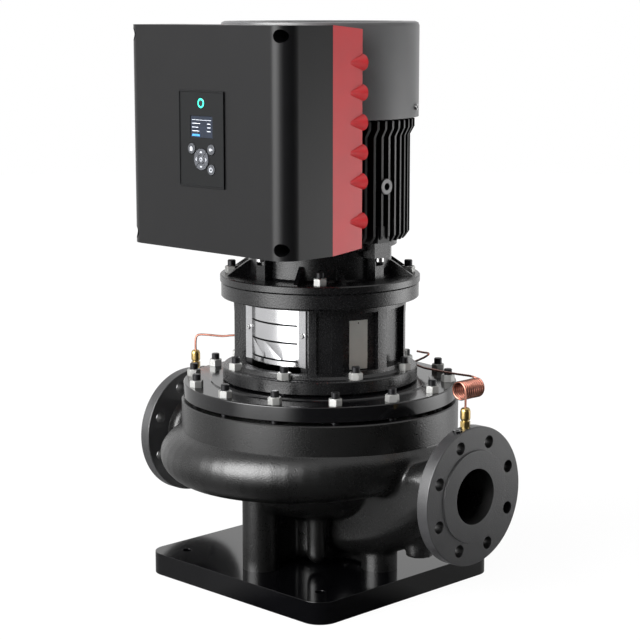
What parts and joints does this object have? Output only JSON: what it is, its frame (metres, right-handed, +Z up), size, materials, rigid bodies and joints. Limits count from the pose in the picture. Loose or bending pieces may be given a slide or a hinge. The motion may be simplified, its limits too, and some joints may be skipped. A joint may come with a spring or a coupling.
{
  "type": "inline centrifugal pump",
  "caption": "Close-coupled single-stage inline centrifugal pump with a finned motor, a wall of drive electronics with a keypad, and thin pressure sensing pipes.",
  "frame": {"origin": "shaft axis at the underside of the base plate, the centre of the four floor bolts", "axes": "+Z up along the shaft, +X out of the suction port, -X out of the discharge port, -Y out of the keypad front of the drive"},
  "size_m": [0.62, 0.4441, 0.8375],
  "materials": {
    "coated_iron": "satin black coat on a cast texture",
    "gloss_coated_iron": "glossy black coat",
    "dark_screws": "black oxide",
    "ring_bronze": "machined bronze",
    "gasket": "matte",
    "black_studs": "black oxide",
    "zinc_nuts": "zinc plated",
    "impeller_iron": "bare fine casting",
    "shaft_steel": "ground",
    "clamp_steel": "phosphated",
    "seal_faces": "lapped",
    "guard_steel": "bright stainless sheet",
    "plate_metal": "satin",
    "motor_black": "satin black coat",
    "core_steel": "laminated",
    "windings": "varnished copper",
    "magnets": "matte",
    "fan_plastic": "moulded",
    "fan_cover_grey": "satin dark grey",
    "housing_red": "red semi-gloss coat",
    "cover_black": "fine matte texture",
    "board_green": "lacquered",
    "panel_dark": "semi-gloss film",
    "display": "clear window over a blue grey display",
    "light": "translucent",
    "keys": "soft touch",
    "brass_fittings": "turned",
    "copper_pipe": "drawn copper",
    "sensor_steel": "machined"
  },
  "bodies": {
    "pump": {"base_plate": "gloss_coated_iron", "foot_screws": "dark_screws", "volute_casing": "coated_iron", "wear_ring": "ring_bronze", "pump_head": "gloss_coated_iron", "head_seal": "gasket", "head_studs": "black_studs", "head_nuts": "zinc_nuts", "seal_seat": "seal_faces", "motor_stool": "coated_iron", "stool_studs": "black_studs", "stool_nuts": "zinc_nuts", "guard_front": "guard_steel", "guard_rear": "guard_steel", "guard_screws": "shaft_steel", "nameplate": "plate_metal", "drive_end_shield": "motor_black", "bearing_outer_rings": "shaft_steel", "motor_frame": "motor_black", "stator_core": "core_steel", "stator_windings": "windings", "rear_end_shield": "motor_black", "fan_cover": "fan_cover_grey", "motor_screws": "shaft_steel", "drive_housing": "housing_red", "drive_cover": "cover_black", "drive_screws": "shaft_steel", "control_board": "board_green", "panel_frame": "panel_dark", "display_window": "display", "status_light": "light", "pipe_fittings": "brass_fittings", "suction_sense_pipe": "copper_pipe", "discharge_sense_pipe": "copper_pipe", "pressure_sensor": "sensor_steel", "port_plugs": "dark_screws"},
    "rotor": {"motor_shaft": "shaft_steel", "rotor_core": "core_steel", "rotor_magnets": "magnets", "cooling_fan": "fan_plastic", "bearing_inner_rings": "shaft_steel", "pump_shaft": "shaft_steel", "shaft_key": "shaft_steel", "shaft_clamp": "clamp_steel", "clamp_screws": "dark_screws", "impeller": "impeller_iron", "impeller_nut": "zinc_nuts", "seal_face": "seal_faces", "seal_spring": "shaft_steel"},
    "lower_ball_set": {"bearing_balls_lower": "shaft_steel"},
    "upper_ball_set": {"bearing_balls_upper": "shaft_steel"},
    "vent_screw": {"air_vent_screw": "brass_fittings"},
    "key_home_cap": {"key_home": "keys"},
    "key_back_cap": {"key_back": "keys"},
    "key_power_cap": {"key_power": "keys"},
    "key_ok_cap": {"key_ok": "keys"},
    "key_up_cap": {"key_up": "keys"},
    "key_down_cap": {"key_down": "keys"},
    "key_left_cap": {"key_left": "keys"},
    "key_right_cap": {"key_right": "keys"}
  },
  "joints": [
    {"name": "shaft_spin", "type": "hinge", "parent": "pump", "child": "rotor", "pos_m": [0, 0, 0.5], "axis": [0, 0, -1], "continuous": true},
    {"name": "lower_ball_set_spin", "type": "hinge", "parent": "pump", "child": "lower_ball_set", "pos_m": [0, 0, 0.489], "axis": [0, 0, -1], "continuous": true},
    {"name": "upper_ball_set_spin", "type": "hinge", "parent": "pump", "child": "upper_ball_set", "pos_m": [0, 0, 0.699], "axis": [0, 0, -1], "continuous": true},
    {"name": "vent_screw_turn", "type": "hinge", "parent": "pump", "child": "vent_screw", "pos_m": [-0.14057, 0.06765, 0.305], "axis": [0, 0, 1], "range_deg": [0, 180]},
    {"name": "key_home_press", "type": "slide", "parent": "pump", "child": "key_home_cap", "axis": [0, 1, 0], "range_m": [0, 0.0008], "stiffness_N_per_m": 1500},
    {"name": "key_back_press", "type": "slide", "parent": "pump", "child": "key_back_cap", "axis": [0, 1, 0], "range_m": [0, 0.0008], "stiffness_N_per_m": 1500},
    {"name": "key_power_press", "type": "slide", "parent": "pump", "child": "key_power_cap", "axis": [0, 1, 0], "range_m": [0, 0.0008], "stiffness_N_per_m": 1500},
    {"name": "key_ok_press", "type": "slide", "parent": "pump", "child": "key_ok_cap", "axis": [0, 1, 0], "range_m": [0, 0.0008], "stiffness_N_per_m": 1500},
    {"name": "key_up_press", "type": "slide", "parent": "pump", "child": "key_up_cap", "axis": [0, 1, 0], "range_m": [0, 0.0008], "stiffness_N_per_m": 1500},
    {"name": "key_down_press", "type": "slide", "parent": "pump", "child": "key_down_cap", "axis": [0, 1, 0], "range_m": [0, 0.0008], "stiffness_N_per_m": 1500},
    {"name": "key_left_press", "type": "slide", "parent": "pump", "child": "key_left_cap", "axis": [0, 1, 0], "range_m": [0, 0.0008], "stiffness_N_per_m": 1500},
    {"name": "key_right_press", "type": "slide", "parent": "pump", "child": "key_right_cap", "axis": [0, 1, 0], "range_m": [0, 0.0008], "stiffness_N_per_m": 1500}
  ],
  "couplings": [
    {"joint": "lower_ball_set_spin", "follows": "shaft_spin", "ratio": 0.4},
    {"joint": "upper_ball_set_spin", "follows": "shaft_spin", "ratio": 0.4}
  ]
}
